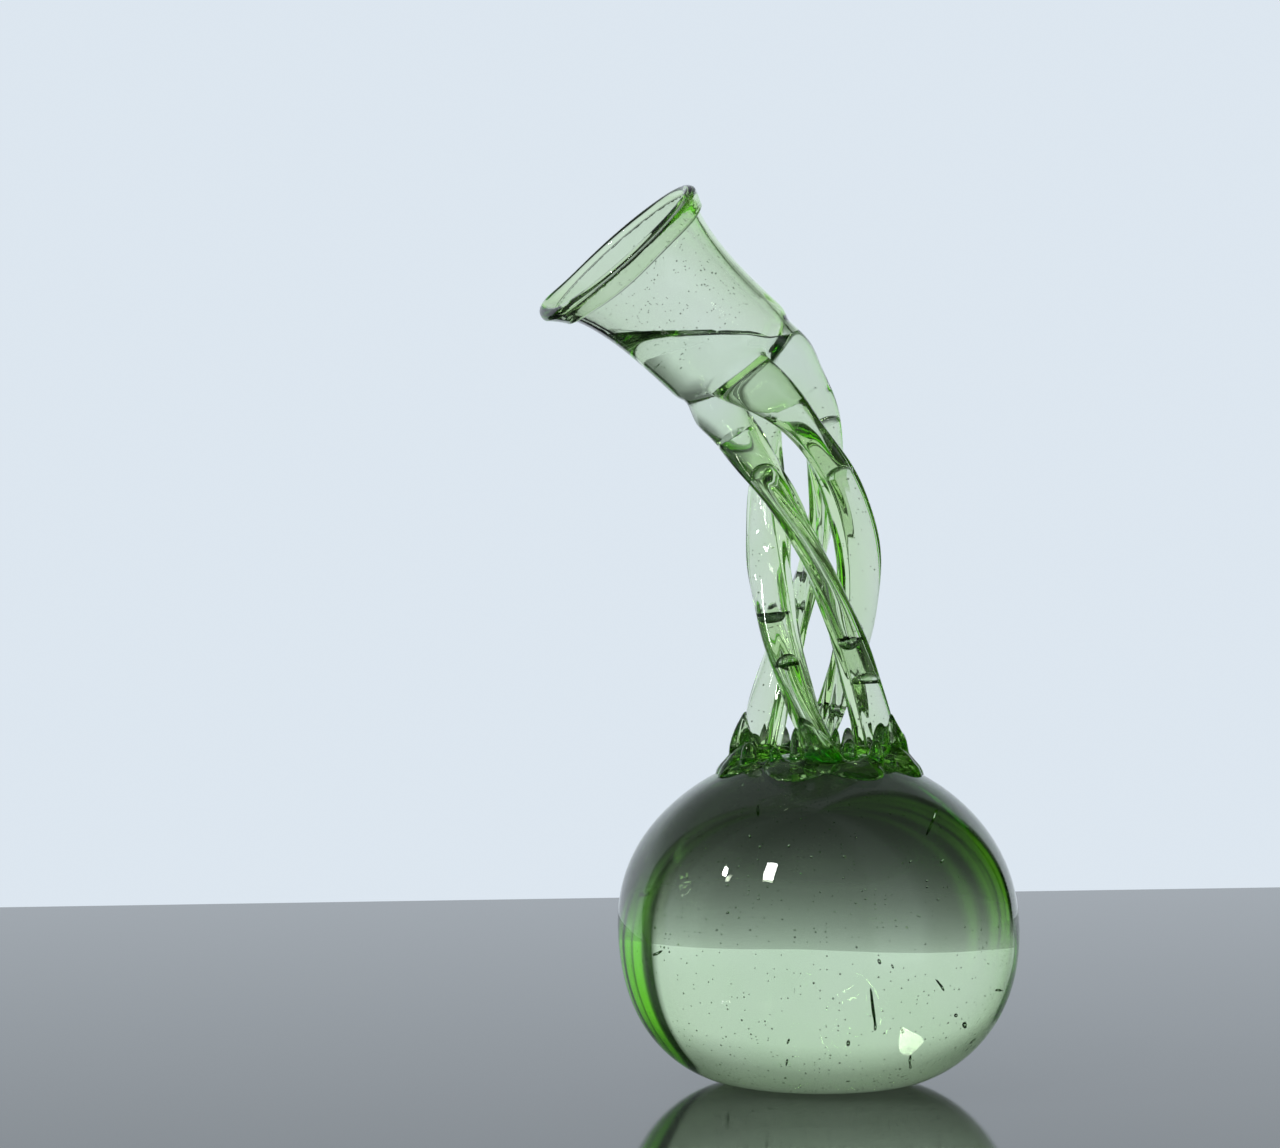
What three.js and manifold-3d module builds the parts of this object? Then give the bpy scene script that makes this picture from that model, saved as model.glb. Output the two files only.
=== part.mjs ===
// Hand blown art glass vase, in millimetres with +Z up. The origin is the centre of the base, at table height.
// A round bulb carries four hollow tubes, twisted round each other as a neck that bends over towards -X and
// opens into a tilted cup with a folded lip. A wreath of pulled glass covers the roots of the tubes.
import * as THREE from "three";
import { mergeVertices } from "three/addons/utils/BufferGeometryUtils.js";
import Module from "manifold-3d";

// Clearance between two pieces of glass that touch.
const GAP = 0.3;

// Bulb: a quarter ellipse above the equator and another below it.
const BULB_RADIUS = 57.6;
const BULB_EQUATOR_HEIGHT = 44;
const BULB_SHOULDER_RISE = 51.6;
const BULB_WALL = 3;
const BULB_FLOOR = 6;
const BASE_RADIUS = 21;
const BASE_RING_WIDTH = 6;
const BASE_HOLLOW_DEPTH = 0.8;

// Pontil mark: the ground button in the middle of the base, where the vase was held while its lip was made.
const PONTIL_RADIUS = 9;
const PONTIL_HEIGHT = 2.2;
const PONTIL_EDGE = 0.5;

// Wreath on the shoulder, which the four tubes stand on. It rises above the bulb's crown, and its skirt reaches
// out past the tubes.
const WREATH_RISE = 0.9;
const WREATH_SKIRT = 2.82;
const WREATH_EDGE = 1.4;
const WREATH_PLUG_DEPTH = 2;
const WREATH_RIM_WIDTH = 3;
const WREATH_SCALLOP = 0.05;
const WREATH_RAGGED = 0.02;
const WREATH_RAGGED_WAVES = [7, 11];

// Neck: its centreline, which starts below the bulb's crown, and how its tubes lie round it.
const NECK_START_DEPTH = 3.6;
const NECK_HEIGHT = 114;
const NECK_REACH = 23.4;
const NECK_TILT = THREE.MathUtils.degToRad(40);
const NECK_RISE_HANDLE = 57;
const NECK_BEND_HANDLE = 38;
const NECK_RADIUS = 18.8;
const NECK_CORE_RADIUS = 6.6;
const NECK_TWIST = THREE.MathUtils.degToRad(205);
const NECK_FIRST_ANGLE = THREE.MathUtils.degToRad(8);
const ROOT_SPREAD = 5.2;
const ROOT_LENGTH = 0.15;
const CROWN_BULGE = 1.8;
const CROWN_PLACE = 0.935;
const CROWN_LENGTH = 0.05;
const CROWN_CLOSING = 1.6;
const CROWN_START = 0.7;
const ROOT_END = 0.2;

// Tubes: flattened, each with a bore of its own.
const TUBE_THICKNESS = 8;
const TUBE_ROOT_THICKNESS = 9.4;
const TUBE_CROWN_THICKNESS = 14;
const TUBE_WALL = 1.6;

// Feet: a pulled point of glass up the outer side of each tube's root.
const FOOT_HEIGHT = 8.5;
const FOOT_LOW_HEIGHT = 2.6;
const FOOT_THICKNESS = 2.2;
const FOOT_TIP_THICKNESS = 0.7;
const FOOT_SPREAD = THREE.MathUtils.degToRad(105);

// Throat: the saddle in which the four bores open into the cup.
const THROAT_OVERHANG = 0.8;
const THROAT_THICKNESS = 3.2;
const THROAT_EDGE = 0.8;
const THROAT_PEAK = 3.4;
const THROAT_PEAK_RADIUS = 7;
const THROAT_PEAK_HALFWAY = 0.7;

// Cup: its centreline leans further than its planes do, so that it droops.
const CUP_LENGTH = 41;
const CUP_MOUTH_RADIUS = 25.6;
const CUP_FLARE_POWER = 3.2;
const CUP_WALL = 2;
const CUP_LEAN = THREE.MathUtils.degToRad(47);
const MOUTH_TILT = THREE.MathUtils.degToRad(42);
const MOUTH_FACING = THREE.MathUtils.degToRad(9.5);
const MOUTH_FORWARD = 3;
const SPOUT_PULL = 1;
const SPOUT_NARROWING = 4;
const SPOUT_RISE_POWER = 8;

// Folded lip: the rim turned outwards and back down over the cup.
const LIP_FOLD_LENGTH = 4.6;
const LIP_FOLD_THICKNESS = 1.2;
const LIP_BEAD_HEIGHT = 1.9;

// Fineness of the round surfaces.
const BULB_SIDES = 40;
const BULB_RINGS = 9;
const TUBE_SIDES = 14;
const TUBE_STEPS = 22;
const CUP_SIDES = 32;
const CUP_RINGS = 8;

// How far a cutter reaches past what it cuts, as a share of the neck's length.
const CUTTER_REACH = 0.1;

const TUBES = ["right", "back", "left", "front"];

// Colours of the glass, thin to thick.
const THIN_GLASS = 0xc9dccb;
const BULB_GLASS = 0xa9c8a8;
const THICK_GLASS = 0x2f7a35;

const wasm = await Module();
wasm.setup();

const point2 = (x, y) => new THREE.Vector2(x, y);

// Geometry with position only and shared vertices.
function bare(geometry) {
  const copy = geometry.clone();
  copy.deleteAttribute("normal");
  copy.deleteAttribute("uv");
  return mergeVertices(copy, 1e-4);
}

function solidFrom(geometry) {
  const merged = bare(geometry);
  return new wasm.Manifold(
    new wasm.Mesh({
      numProp: 3,
      vertProperties: merged.attributes.position.array,
      triVerts: new Uint32Array(merged.index.array),
    }),
  );
}

function geometryFrom(solid) {
  const mesh = solid.getMesh();
  const geometry = new THREE.BufferGeometry();
  geometry.setAttribute("position", new THREE.BufferAttribute(mesh.vertProperties, 3));
  geometry.setIndex(new THREE.BufferAttribute(mesh.triVerts, 1));
  return geometry;
}

// Moves every vertex to the place that a function of its old place gives.
function reshape(geometry, place) {
  const merged = bare(geometry);
  const position = merged.attributes.position;
  const vertex = new THREE.Vector3();
  for (let i = 0; i < position.count; i += 1) {
    vertex.copy(place(vertex.fromBufferAttribute(position, i)));
    position.setXYZ(i, vertex.x, vertex.y, vertex.z);
  }
  return merged;
}

// A profile of (radius, height) turned round +Z.
function turned(profile, sides) {
  return new THREE.LatheGeometry(profile, sides).rotateX(Math.PI / 2);
}

function quarterEllipse(centre, reach, rise, from, to, steps) {
  const points = [];
  for (let i = 0; i <= steps; i += 1) {
    const angle = THREE.MathUtils.lerp(from, to, i / steps);
    points.push(point2(centre.x + reach * Math.cos(angle), centre.y + rise * Math.sin(angle)));
  }
  return points;
}

// Height of the bulb's outer surface above the table, at a radius out to the equator's.
function shoulderHeight(radius) {
  const share = Math.min(radius / BULB_RADIUS, 1);
  return BULB_EQUATOR_HEIGHT + BULB_SHOULDER_RISE * Math.sqrt(1 - share * share);
}

// ---- Neck centreline and the tubes round it ----

const neckStartHeight = shoulderHeight(0) - NECK_START_DEPTH;
const neckEndHeight = neckStartHeight + NECK_HEIGHT;
const neckLine = new THREE.CubicBezierCurve3(
  new THREE.Vector3(0, 0, neckStartHeight),
  new THREE.Vector3(0, 0, neckStartHeight + NECK_RISE_HANDLE),
  new THREE.Vector3(
    -NECK_REACH + NECK_BEND_HANDLE * Math.sin(NECK_TILT),
    0,
    neckEndHeight - NECK_BEND_HANDLE * Math.cos(NECK_TILT),
  ),
  new THREE.Vector3(-NECK_REACH, 0, neckEndHeight),
);
const neckLength = neckLine.getLength();

// The centre and the axes of the neck at a share of its length. Past its ends it goes on straight.
function neckFrame(share) {
  const inside = THREE.MathUtils.clamp(share, 0, 1);
  const forward = neckLine.getTangentAt(inside);
  const centre = neckLine.getPointAt(inside).addScaledVector(forward, (share - inside) * neckLength);
  const back = new THREE.Vector3(0, 1, 0);
  const side = new THREE.Vector3().crossVectors(back, forward);
  return { centre, side, back, forward };
}

// A tube's place and half sizes at a share of the neck's length.
function tubeSection(share) {
  const inside = THREE.MathUtils.clamp(share, 0, 1);
  const spread = Math.exp(-inside / ROOT_LENGTH);
  const fromCrown = (inside - CROWN_PLACE) / CROWN_LENGTH;
  const outer = NECK_RADIUS + ROOT_SPREAD * spread + CROWN_BULGE * Math.exp(-fromCrown * fromCrown);
  const inner = NECK_CORE_RADIUS + ROOT_SPREAD * spread - CROWN_CLOSING * inside ** 4;
  const crown = THREE.MathUtils.smoothstep(inside, CROWN_START, 1);
  const root = 1 - THREE.MathUtils.smoothstep(inside, 0, ROOT_END);
  const thickness =
    TUBE_THICKNESS +
    (TUBE_ROOT_THICKNESS - TUBE_THICKNESS) * root +
    (TUBE_CROWN_THICKNESS - TUBE_THICKNESS) * crown;
  return { middle: (outer + inner) / 2, deep: (outer - inner) / 2, wide: thickness / 2 };
}

// A point by a tube: round its section by an angle that is 0 on its outer side, and outside its surface.
function tubePoint(number, share, round, outside) {
  const frame = neckFrame(share);
  const section = tubeSection(share);
  const turn = NECK_FIRST_ANGLE + (number * Math.PI) / 2 - NECK_TWIST * share;
  const radial = section.middle + (section.deep + outside) * Math.cos(round);
  const sideways = (section.wide + outside) * Math.sin(round);
  return frame.centre
    .addScaledVector(frame.side, radial * Math.cos(turn) - sideways * Math.sin(turn))
    .addScaledVector(frame.back, radial * Math.sin(turn) + sideways * Math.cos(turn));
}

// A tube, or with a bore of 0 a solid rod, between two shares of the neck's length.
function tubeGeometry(number, from, to, surface, bore, steps) {
  const ring = new THREE.Shape().absarc(0, 0, 2, 0, 2 * Math.PI);
  if (bore) {
    ring.holes.push(new THREE.Path().absarc(0, 0, 1, 0, 2 * Math.PI, true));
  }
  const straight = new THREE.ExtrudeGeometry(ring, {
    depth: 1,
    steps,
    curveSegments: TUBE_SIDES / 2,
    bevelEnabled: false,
  });
  return reshape(straight, (vertex) => {
    const isBore = Math.hypot(vertex.x, vertex.y) < 1.5;
    const round = Math.atan2(vertex.y, vertex.x);
    const share = THREE.MathUtils.lerp(from, to, vertex.z);
    return tubePoint(number, share, round, isBore ? surface - bore : surface);
  });
}

// The tubes stand on the wreath's top, and the reach of their roots sets the bulb's mouth and the wreath.
const wreathTopHeight = shoulderHeight(0) + WREATH_RISE;
const tubeStart = (wreathTopHeight + GAP - neckStartHeight) / neckLength;
const rootReach = tubeSection(tubeStart).middle + tubeSection(tubeStart).deep;
const wreathRadius = rootReach + WREATH_SKIRT;

const neckTube = (number) => tubeGeometry(number, tubeStart, 1, 0, TUBE_WALL, TUBE_STEPS);

// The four bores as solids, to be cut out of whatever the tubes open through.
function boreCutters(from, to) {
  return TUBES.map((_, number) => solidFrom(tubeGeometry(number, from, to, -TUBE_WALL, 0, 2)));
}

// ---- Bulb and pontil mark ----

function bulb() {
  const equator = point2(0, BULB_EQUATOR_HEIGHT);
  const quarter = Math.PI / 2;
  const mouthRadius = rootReach - TUBE_WALL + GAP;
  const innerRadius = BULB_RADIUS - BULB_WALL;
  const innerBase = BASE_RADIUS - BULB_WALL;
  const outerEnd = Math.acos(mouthRadius / BULB_RADIUS);
  const innerEnd = Math.acos(mouthRadius / innerRadius);
  const innerDrop = BULB_EQUATOR_HEIGHT - BULB_FLOOR;
  const recess = PONTIL_RADIUS + GAP;
  return [
    point2(0, PONTIL_HEIGHT + GAP),
    point2(recess, PONTIL_HEIGHT + GAP),
    point2(recess, BASE_HOLLOW_DEPTH),
    point2(BASE_RADIUS - BASE_RING_WIDTH, 0),
    ...quarterEllipse(
      point2(BASE_RADIUS, BULB_EQUATOR_HEIGHT),
      BULB_RADIUS - BASE_RADIUS,
      BULB_EQUATOR_HEIGHT,
      -quarter,
      0,
      BULB_RINGS,
    ),
    ...quarterEllipse(equator, BULB_RADIUS, BULB_SHOULDER_RISE, 0, outerEnd, BULB_RINGS).slice(1),
    ...quarterEllipse(equator, innerRadius, BULB_SHOULDER_RISE - BULB_WALL, innerEnd, 0, BULB_RINGS),
    ...quarterEllipse(
      point2(innerBase, BULB_EQUATOR_HEIGHT),
      innerRadius - innerBase,
      innerDrop,
      0,
      -quarter,
      BULB_RINGS,
    ).slice(1),
    point2(0, BULB_FLOOR),
  ];
}

function pontilMark() {
  return [
    point2(0, 0),
    point2(PONTIL_RADIUS - PONTIL_EDGE, 0),
    point2(PONTIL_RADIUS, PONTIL_EDGE),
    point2(PONTIL_RADIUS, PONTIL_HEIGHT),
    point2(0, PONTIL_HEIGHT),
  ];
}

// ---- Wreath and feet ----

// The wreath's ragged outline: four scallops in line with the tubes, and finer waves.
function wreathStretch(angle) {
  const toTube = angle - NECK_FIRST_ANGLE + NECK_TWIST * tubeStart;
  const ragged = WREATH_RAGGED_WAVES.reduce((sum, waves) => sum + Math.cos(waves * angle + 1), 0);
  return 1 + WREATH_SCALLOP * Math.cos(4 * toTube) + WREATH_RAGGED * ragged;
}

function wreath() {
  const plugRadius = rootReach - TUBE_WALL - GAP;
  const seat = plugRadius + 2 * GAP;
  const floor = shoulderHeight(seat) - WREATH_PLUG_DEPTH;
  const rimStart = wreathRadius - WREATH_RIM_WIDTH + WREATH_EDGE;
  const profile = [point2(0, floor), point2(plugRadius, floor)];
  const seats = 4;
  for (let i = 0; i <= seats; i += 1) {
    const radius = THREE.MathUtils.lerp(seat, wreathRadius, i / seats);
    profile.push(point2(radius, shoulderHeight(radius) + GAP));
  }
  const edge = shoulderHeight(wreathRadius) + GAP + WREATH_EDGE;
  profile.push(point2(wreathRadius + WREATH_EDGE / 2, edge));
  profile.push(point2((wreathRadius + rimStart) / 2, (edge + wreathTopHeight) / 2 + WREATH_EDGE));
  profile.push(point2(rimStart, wreathTopHeight));
  profile.push(point2(0, wreathTopHeight));
  // Only the skirt outside the bores is stretched, and it stays on the shoulder.
  const ragged = reshape(turned(profile, BULB_SIDES), (vertex) => {
    const radius = Math.hypot(vertex.x, vertex.y);
    const share = THREE.MathUtils.smoothstep(radius, rimStart, wreathRadius);
    const stretch = 1 + share * (wreathStretch(Math.atan2(vertex.y, vertex.x)) - 1);
    const drop = share * (shoulderHeight(radius * stretch) - shoulderHeight(radius));
    return vertex.set(vertex.x * stretch, vertex.y * stretch, vertex.z + drop);
  });
  const cutters = boreCutters(-CUTTER_REACH, CUTTER_REACH);
  return geometryFrom(cutters.reduce((left, cutter) => left.subtract(cutter), solidFrom(ragged)));
}

// A foot is a block of (clockwise round the tube, outwards, upwards) laid against the tube with a gap.
function foot(number) {
  const block = new THREE.BoxGeometry(2, 1, 1, 12, 2, 5);
  return reshape(block, (vertex) => {
    const round = -vertex.x * FOOT_SPREAD;
    const outwards = vertex.y + 0.5;
    const upwards = vertex.z + 0.5;
    const peak = Math.cos(vertex.x * (Math.PI / 2)) ** 2;
    const height = FOOT_LOW_HEIGHT + (FOOT_HEIGHT - FOOT_LOW_HEIGHT) * peak;
    const root = FOOT_TIP_THICKNESS + (FOOT_THICKNESS - FOOT_TIP_THICKNESS) * peak;
    const thickness = THREE.MathUtils.lerp(root, FOOT_TIP_THICKNESS, upwards);
    const share = tubeStart + (upwards * height) / neckLength;
    return tubePoint(number, share, round, GAP + outwards * thickness);
  });
}

// ---- Throat, cup and lip ----

// Lays a shape that stands on the neck's end, along its tilted axis.
function onNeckEnd(geometry) {
  const frame = neckFrame(1);
  return geometry.applyMatrix4(
    new THREE.Matrix4().makeBasis(frame.side, frame.back, frame.forward).setPosition(frame.centre),
  );
}

const throatRadius = tubeSection(1).middle + tubeSection(1).deep + THROAT_OVERHANG;

function throat() {
  const top = GAP + THROAT_THICKNESS;
  const profile = [
    point2(0, GAP),
    point2(throatRadius - THROAT_EDGE, GAP),
    point2(throatRadius, GAP + THROAT_EDGE),
    point2(throatRadius, top),
    point2(THROAT_PEAK_RADIUS, top),
    point2(THROAT_PEAK_RADIUS / 2, top + THROAT_PEAK * THROAT_PEAK_HALFWAY),
    point2(0, top + THROAT_PEAK),
  ];
  const body = solidFrom(onNeckEnd(turned(profile, CUP_SIDES)));
  const cutters = boreCutters(1 - CUTTER_REACH, 1 + CUTTER_REACH);
  return geometryFrom(cutters.reduce((left, cutter) => left.subtract(cutter), body));
}

function cupRadius(height) {
  const share = height / CUP_LENGTH;
  return throatRadius + (CUP_MOUTH_RADIUS - throatRadius) * share ** CUP_FLARE_POWER;
}

// Lays a shape that is straight round +Z into the cup's drooping frame, which starts on the throat.
function inCup(geometry) {
  const start = neckFrame(1 + (2 * GAP + THROAT_THICKNESS) / neckLength).centre;
  return reshape(geometry, (vertex) => {
    const share = vertex.z / CUP_LENGTH;
    const tilt = THREE.MathUtils.lerp(NECK_TILT, MOUTH_TILT, share);
    const facing = MOUTH_FACING * share;
    const radius = Math.hypot(vertex.x, vertex.y);
    const low = Math.max(0, -vertex.x / radius) ** SPOUT_NARROWING;
    const stretch = 1 + (low * SPOUT_PULL * Math.max(share, 0) ** SPOUT_RISE_POWER) / radius;
    const across = new THREE.Vector3(vertex.x * stretch, vertex.y * stretch, 0)
      .applyAxisAngle(new THREE.Vector3(1, 0, 0), facing)
      .applyAxisAngle(new THREE.Vector3(0, 1, 0), -tilt);
    return across
      .add(start)
      .add(new THREE.Vector3(-vertex.z * Math.sin(CUP_LEAN), 0, vertex.z * Math.cos(CUP_LEAN)))
      .add(new THREE.Vector3(0, -MOUTH_FORWARD * share * share, 0));
  });
}

// A loop of (radius, height) closed on itself, from an outer line up and an inner line down.
function closedLoop(points) {
  return [...points, points[0].clone()];
}

function cup() {
  const outer = [];
  for (let i = 0; i <= CUP_RINGS; i += 1) {
    const height = (CUP_LENGTH * i) / CUP_RINGS;
    outer.push(point2(cupRadius(height), height));
  }
  const inner = outer.map((edge) => point2(edge.x - CUP_WALL, edge.y)).reverse();
  return inCup(turned(closedLoop([...outer, ...inner]), CUP_SIDES));
}

function foldedLip() {
  const foldStart = CUP_LENGTH - LIP_FOLD_LENGTH;
  const inside = [];
  const outside = [];
  const steps = 3;
  for (let i = 0; i <= steps; i += 1) {
    const height = THREE.MathUtils.lerp(foldStart, CUP_LENGTH, i / steps);
    inside.push(point2(cupRadius(height) + GAP, height));
    outside.push(point2(cupRadius(height) + GAP + LIP_FOLD_THICKNESS, height));
  }
  const outerEdge = cupRadius(CUP_LENGTH) + GAP + LIP_FOLD_THICKNESS;
  const innerEdge = cupRadius(CUP_LENGTH) - CUP_WALL;
  const bead = quarterEllipse(
    point2((outerEdge + innerEdge) / 2, CUP_LENGTH + GAP),
    (outerEdge - innerEdge) / 2,
    LIP_BEAD_HEIGHT,
    0,
    Math.PI,
    6,
  );
  const seat = point2(cupRadius(CUP_LENGTH) + GAP, CUP_LENGTH + GAP);
  return inCup(turned(closedLoop([...outside, ...bead, seat, ...inside.reverse()]), CUP_SIDES));
}

// ---- Assembly ----

function glass(name, colour) {
  return new THREE.MeshStandardMaterial({ name, color: colour, roughness: 0.04, metalness: 0 });
}

const vase = new THREE.Group();
vase.name = "art_glass_vase";

function add(name, geometry, material) {
  const mesh = new THREE.Mesh(geometry, material);
  mesh.name = name;
  vase.add(mesh);
}

add("bulb", turned(bulb(), BULB_SIDES), glass("bulb_glass", BULB_GLASS));
add("pontil_mark", turned(pontilMark(), BULB_SIDES / 2), glass("ground_glass", BULB_GLASS));
add("root_wreath", wreath(), glass("wreath_glass", THICK_GLASS));
TUBES.forEach((place, number) => {
  add(`neck_tube_${place}`, neckTube(number), glass(`tube_${place}_glass`, THIN_GLASS));
  add(`tube_foot_${place}`, foot(number), glass(`foot_${place}_glass`, THICK_GLASS));
});
add("throat_saddle", throat(), glass("throat_glass", THICK_GLASS));
add("mouth_cup", cup(), glass("cup_glass", THIN_GLASS));
add("folded_lip", foldedLip(), glass("lip_glass", THIN_GLASS));

export default vase;
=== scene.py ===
"""The looks of a hand blown green glass vase: a bulb on a ground base, four twisted neck tubes, a tilted cup
with a folded lip, and the water that it is filled with. Metres, +Z up, in the frame of the CAD model."""

import math

import bpy
import numpy as np
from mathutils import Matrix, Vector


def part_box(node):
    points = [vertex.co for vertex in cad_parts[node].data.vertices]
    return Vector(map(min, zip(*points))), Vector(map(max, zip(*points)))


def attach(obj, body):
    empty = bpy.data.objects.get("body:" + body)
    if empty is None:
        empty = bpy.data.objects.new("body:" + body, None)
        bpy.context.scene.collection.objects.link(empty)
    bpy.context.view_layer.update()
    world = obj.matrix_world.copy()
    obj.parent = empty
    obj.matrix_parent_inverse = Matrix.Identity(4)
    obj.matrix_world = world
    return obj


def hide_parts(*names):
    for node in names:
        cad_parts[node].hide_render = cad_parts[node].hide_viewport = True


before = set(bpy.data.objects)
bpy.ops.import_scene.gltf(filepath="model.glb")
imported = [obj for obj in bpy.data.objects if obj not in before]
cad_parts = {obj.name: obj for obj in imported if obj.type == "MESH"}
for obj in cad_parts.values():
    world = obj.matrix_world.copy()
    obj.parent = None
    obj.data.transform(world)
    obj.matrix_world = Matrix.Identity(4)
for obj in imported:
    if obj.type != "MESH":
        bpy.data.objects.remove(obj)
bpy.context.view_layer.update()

# ---- Camera and studio ----
# A camera a little above the middle of the vase, with a long lens, and a plain glossy table top that looks
# pale at this low angle. The surround is pale behind the vase. Elsewhere it is dim, with soft screens and
# greenery, which is what draws the edges of the glass.

CAMERA_PLACE = (-0.0508, -1.188, 0.1746)
CAMERA_TILT_DOWN = 1.41
CAMERA_LENS = 117.3
SENSOR_WIDTH = 36.0
GLASS_BOUNCES = 32
GLOSS_BOUNCES = 8

camera_data = bpy.data.cameras.new("camera")
camera_data.sensor_width = SENSOR_WIDTH
camera_data.lens = CAMERA_LENS
camera_data.clip_start = 0.01
camera = bpy.data.objects.new("camera", camera_data)
camera.location = CAMERA_PLACE
camera.rotation_euler = (math.radians(90 - CAMERA_TILT_DOWN), 0, 0)
bpy.context.collection.objects.link(camera)
bpy.context.scene.camera = camera
bpy.context.scene.view_settings.view_transform = "Standard"
bpy.context.scene.cycles.max_bounces = GLASS_BOUNCES
bpy.context.scene.cycles.transmission_bounces = GLASS_BOUNCES
bpy.context.scene.cycles.glossy_bounces = GLOSS_BOUNCES


def new_object(name, vertices, faces):
    """An object at the origin whose mesh holds the vertices and the faces, smooth all over."""
    mesh = bpy.data.meshes.new(name)
    mesh.from_pydata(vertices, [], faces)
    mesh.polygons.foreach_set("use_smooth", np.ones(len(mesh.polygons), dtype=bool))
    mesh.update()
    made = bpy.data.objects.new(name, mesh)
    bpy.context.collection.objects.link(made)
    return made


FLOOR_FAR = 0.52
FLOOR_NEAR = -1.1
FLOOR_HALF_WIDTH = 1.3
FLOOR_TURN = math.radians(8.7)
FLOOR_COLOUR = (0.055, 0.058, 0.062, 1)
FLOOR_IOR = 1.22
FLOOR_ROUGHNESS = 0.05


def floor_corners():
    """The four corners of the table top, a rectangle turned a little about the vertical."""
    x = np.array([-1, 1, 1, -1]) * FLOOR_HALF_WIDTH
    y = np.array([FLOOR_NEAR, FLOOR_NEAR, FLOOR_FAR, FLOOR_FAR])
    c, s = math.cos(FLOOR_TURN), math.sin(FLOOR_TURN)
    return np.stack([x * c - y * s, x * s + y * c, np.zeros(4)], axis=1)


floor = new_object("floor", floor_corners(), [(0, 1, 2, 3)])
floor_material = bpy.data.materials.new("floor_pale")
floor_material.use_nodes = True
floor_shader = floor_material.node_tree.nodes["Principled BSDF"]
floor_shader.inputs["Base Color"].default_value = FLOOR_COLOUR
floor_shader.inputs["Roughness"].default_value = FLOOR_ROUGHNESS
floor_shader.inputs["IOR"].default_value = FLOOR_IOR
floor.data.materials.append(floor_material)

SURROUND_COLOUR = (0.72, 0.795, 0.87, 1)
# The surround by compass angle in degrees, from +X towards +Y: pale wall behind, dim room, soft screens and
# greenery elsewhere.
WALL = (1.0, 1.0, 1.0)
SCREEN = (0.55, 0.56, 0.56)
ROOM = (0.17, 0.18, 0.18)
LEAF_SHADE = (0.008, 0.03, 0.004)
LEAF = (0.30, 0.95, 0.05)
OLIVE = (0.11, 0.17, 0.02)
SURROUND_BY_ANGLE = [
    (-180, SCREEN), (-168, SCREEN), (-160, ROOM), (-62, ROOM), (-57, SCREEN), (-33, SCREEN), (-28, ROOM),
    (-20, LEAF_SHADE), (-2, LEAF_SHADE),
    (6, LEAF), (12, LEAF_SHADE), (20, LEAF_SHADE), (25, LEAF), (31, LEAF), (33, LEAF_SHADE),
    (35, LEAF_SHADE),
    (37, LEAF), (42, LEAF), (43, LEAF_SHADE), (45, LEAF), (49, LEAF), (51, LEAF_SHADE), (55, LEAF_SHADE),
    (57, WALL), (146, WALL), (148, LEAF_SHADE), (153, LEAF), (158, LEAF_SHADE),
    (165, OLIVE), (168, LEAF_SHADE), (171, SCREEN), (180, SCREEN),
]
# Brightness by height of the direction, -1 straight down and 1 straight up.
SURROUND_BY_HEIGHT = [
    (-1.0, (0.3,) * 3), (-0.2, WALL), (0.27, WALL), (0.42, (0.5,) * 3), (0.6, (0.24,) * 3),
    (1.0, (0.2,) * 3),
]


def brightness_ramp(nodes, stops, low, high):
    """A colour ramp over the range low to high through the given (value, colour) stops."""
    ramp = nodes.new("ShaderNodeValToRGB")
    ramp.color_ramp.interpolation = "LINEAR"
    elements = ramp.color_ramp.elements
    while len(elements) < len(stops):
        elements.new(0.5)
    for element, (value, colour) in zip(elements, stops):
        element.position = (value - low) / (high - low)
        element.color = (*colour, 1)
    return ramp


def make_surround():
    """World colour = surround colour x colour by compass angle x brightness by height."""
    world = bpy.data.worlds.new("surround")
    bpy.context.scene.world = world
    world.use_nodes = True
    nodes, links = world.node_tree.nodes, world.node_tree.links
    direction = nodes.new("ShaderNodeTexCoord")
    parts = nodes.new("ShaderNodeSeparateXYZ")
    links.new(direction.outputs["Generated"], parts.inputs[0])
    angle = nodes.new("ShaderNodeMath")
    angle.operation = "ARCTAN2"
    links.new(parts.outputs["Y"], angle.inputs[0])
    links.new(parts.outputs["X"], angle.inputs[1])
    turn = nodes.new("ShaderNodeMapRange")
    turn.inputs["From Min"].default_value = -math.pi
    turn.inputs["From Max"].default_value = math.pi
    links.new(angle.outputs[0], turn.inputs["Value"])
    height = nodes.new("ShaderNodeMapRange")
    height.inputs["From Min"].default_value = -1
    height.inputs["From Max"].default_value = 1
    links.new(parts.outputs["Z"], height.inputs["Value"])
    by_angle = brightness_ramp(nodes, SURROUND_BY_ANGLE, -180, 180)
    by_height = brightness_ramp(nodes, SURROUND_BY_HEIGHT, -1, 1)
    links.new(turn.outputs[0], by_angle.inputs[0])
    links.new(height.outputs[0], by_height.inputs[0])
    both = nodes.new("ShaderNodeMix")
    both.data_type, both.blend_type = "RGBA", "MULTIPLY"
    both.inputs["Factor"].default_value = 1
    links.new(by_angle.outputs["Color"], both.inputs["A"])
    links.new(by_height.outputs["Color"], both.inputs["B"])
    tinted = nodes.new("ShaderNodeMix")
    tinted.data_type, tinted.blend_type = "RGBA", "MULTIPLY"
    tinted.inputs["Factor"].default_value = 1
    tinted.inputs["B"].default_value = SURROUND_COLOUR
    links.new(both.outputs["Result"], tinted.inputs["A"])
    links.new(tinted.outputs["Result"], nodes["Background"].inputs["Color"])


make_surround()


def add_light(name, place, aim, size, power, glints=False):
    """A square area light at a place, turned towards an aim point. Only a light that glints is seen in the
    glass."""
    data = bpy.data.lights.new(name, "AREA")
    data.shape, data.size, data.energy = "SQUARE", size, power
    light = bpy.data.objects.new(name, data)
    light.location = place
    away = np.array(place, dtype=float) - np.array(aim, dtype=float)
    flat = math.hypot(away[0], away[1])
    light.rotation_euler = (math.atan2(flat, away[2]), 0, math.atan2(away[0], -away[1]))
    light.visible_glossy = light.visible_transmission = glints
    bpy.context.collection.objects.link(light)


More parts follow.
